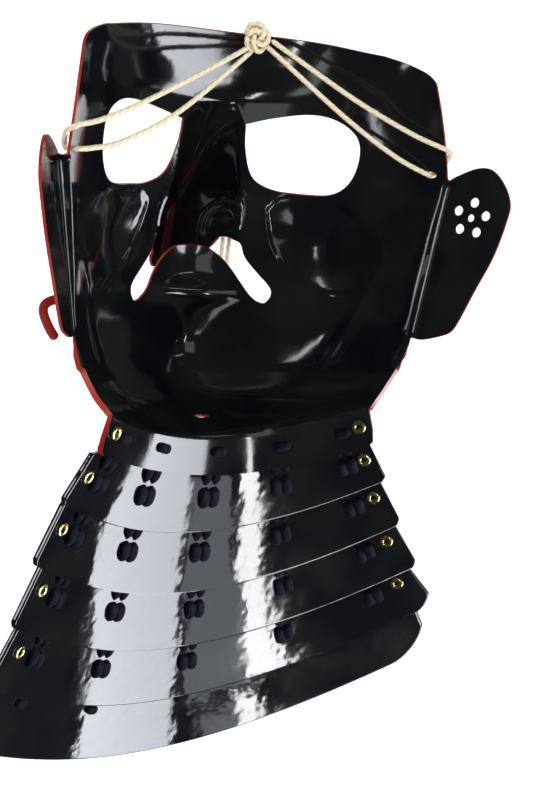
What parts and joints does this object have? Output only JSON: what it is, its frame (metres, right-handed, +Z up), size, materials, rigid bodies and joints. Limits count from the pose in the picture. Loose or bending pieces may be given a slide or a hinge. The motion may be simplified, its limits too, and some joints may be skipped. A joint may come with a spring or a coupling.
{
  "type": "samurai face guard with throat guard",
  "caption": "Full-face armour mask with eye and mouth openings, plate ears, cord pegs, a laced throat guard of curved lames, and a knotted hanging cord.",
  "frame": {"origin": "in the hollow, midway between the notches above the two ears, where the wearer's temples come", "axes": "+Z up through the brow, -Y out through the face (the way the wearer looks), +X to the wearer's left"},
  "size_m": [0.2432, 0.1338, 0.364],
  "materials": {
    "black_lacquer": "deep gloss black lacquer inside; the outside and every cut edge are red lacquer",
    "red_lacquer": "satin red lacquer",
    "navy_braid": "flat braided silk lacing, dull",
    "brass": "polished rolled eyelets",
    "hemp_cord": "twisted cream cord, rough"
  },
  "bodies": {
    "root": {"face_shell": "black_lacquer", "ear_left": "black_lacquer", "cord_peg_left": "red_lacquer", "ear_right": "black_lacquer", "cord_peg_right": "red_lacquer", "lame_1": "black_lacquer", "lame_2": "black_lacquer", "lame_3": "black_lacquer", "lame_4": "black_lacquer", "lame_5": "black_lacquer", "eyelet_left_0": "brass", "eyelet_right_0": "brass", "eyelet_left_1": "brass", "eyelet_right_1": "brass", "eyelet_left_2": "brass", "eyelet_right_2": "brass", "eyelet_left_3": "brass", "eyelet_right_3": "brass", "eyelet_left_4": "brass", "eyelet_right_4": "brass", "lace_1a": "navy_braid", "lace_1b": "navy_braid", "lace_2a": "navy_braid", "lace_2b": "navy_braid", "lace_3a": "navy_braid", "lace_3b": "navy_braid", "lace_4a": "navy_braid", "lace_4b": "navy_braid", "lace_5a": "navy_braid", "lace_5b": "navy_braid", "cord_left": "hemp_cord", "cord_right": "hemp_cord", "cord_tail_near": "hemp_cord", "cord_tail_far": "hemp_cord", "cord_knot": "hemp_cord"}
  },
  "joints": []
}
